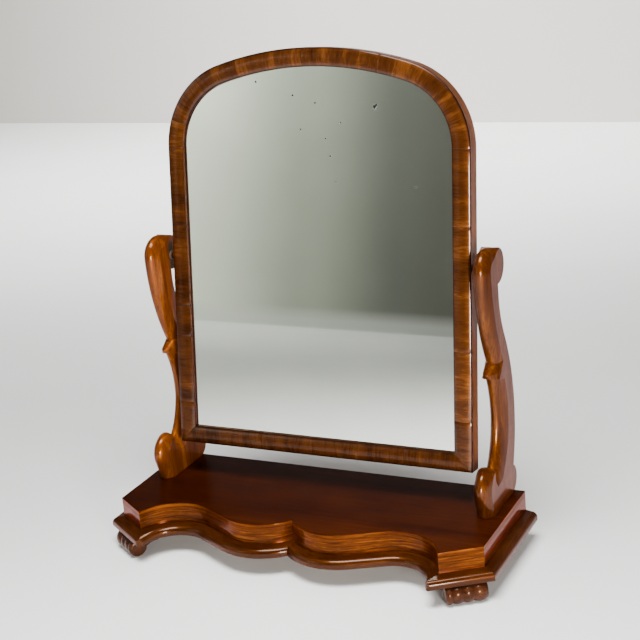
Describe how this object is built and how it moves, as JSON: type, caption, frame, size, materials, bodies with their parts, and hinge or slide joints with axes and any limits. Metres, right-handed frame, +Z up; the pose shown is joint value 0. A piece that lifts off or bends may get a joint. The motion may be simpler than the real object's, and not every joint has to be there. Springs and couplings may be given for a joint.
{
  "type": "swing toilet mirror",
  "caption": "Arched dressing-table mirror that swings between two S-scroll uprights on a low serpentine platform with canted corners.",
  "frame": {"origin": "on the table under the middle of the mirror's overall box, at rest pose", "axes": "+X to the viewer's right, +Y to the back, +Z up"},
  "size_m": [0.614, 0.2718, 0.7194],
  "materials": {
    "top_mahogany": "french polish, deep red-brown",
    "frieze_mahogany": "french polish, bright straight grain",
    "moulding_mahogany": "french polish",
    "upright_mahogany": "french polish, golden brown",
    "facing_mahogany": "french polish, cross-grain figured veneer",
    "foot_mahogany": "french polish, worn on the rings",
    "core_wood": "planed and stained",
    "secondary_wood": "planed, unfinished",
    "silvered_glass": "old silvering, slightly foxed",
    "brass": "dull brass",
    "steel": "plain screws",
    "washer_leather": "dark leather"
  },
  "bodies": {
    "base": {"top_board": "top_mahogany", "bottom_board": "secondary_wood", "back_rail": "secondary_wood", "glue_blocks": "secondary_wood", "foot_screws": "steel", "upright_screws": "steel", "socket_screws": "brass", "friction_washers": "washer_leather", "frieze_front_left": "frieze_mahogany", "frieze_front_right": "frieze_mahogany", "frieze_cant_left": "frieze_mahogany", "frieze_cant_right": "frieze_mahogany", "frieze_side_left": "frieze_mahogany", "frieze_side_right": "frieze_mahogany", "moulding_front_left": "moulding_mahogany", "moulding_front_right": "moulding_mahogany", "moulding_cant_left": "moulding_mahogany", "moulding_cant_right": "moulding_mahogany", "moulding_side_left": "moulding_mahogany", "moulding_side_right": "moulding_mahogany", "bearer_left": "secondary_wood", "bearer_right": "secondary_wood", "foot_front_left": "foot_mahogany", "foot_front_right": "foot_mahogany", "foot_rear_left": "foot_mahogany", "foot_rear_right": "foot_mahogany", "upright_left": "upright_mahogany", "upright_right": "upright_mahogany", "socket_left": "brass", "socket_right": "brass"},
    "mirror": {"stile_left": "core_wood", "stile_right": "core_wood", "bottom_rail": "core_wood", "frame_arch": "core_wood", "facing_left": "facing_mahogany", "facing_right": "facing_mahogany", "facing_bottom": "facing_mahogany", "facing_arch": "facing_mahogany", "mirror_glass": "silvered_glass", "glass_blocks": "secondary_wood", "backboard": "secondary_wood", "backboard_pins": "steel", "pivot_left": "brass", "pivot_right": "brass", "pivot_screws": "brass"}
  },
  "joints": [
    {"name": "mirror_tilt", "type": "hinge", "parent": "base", "child": "mirror", "pos_m": [0, 0.0795, 0.415], "axis": [1, 0, 0], "continuous": true}
  ]
}
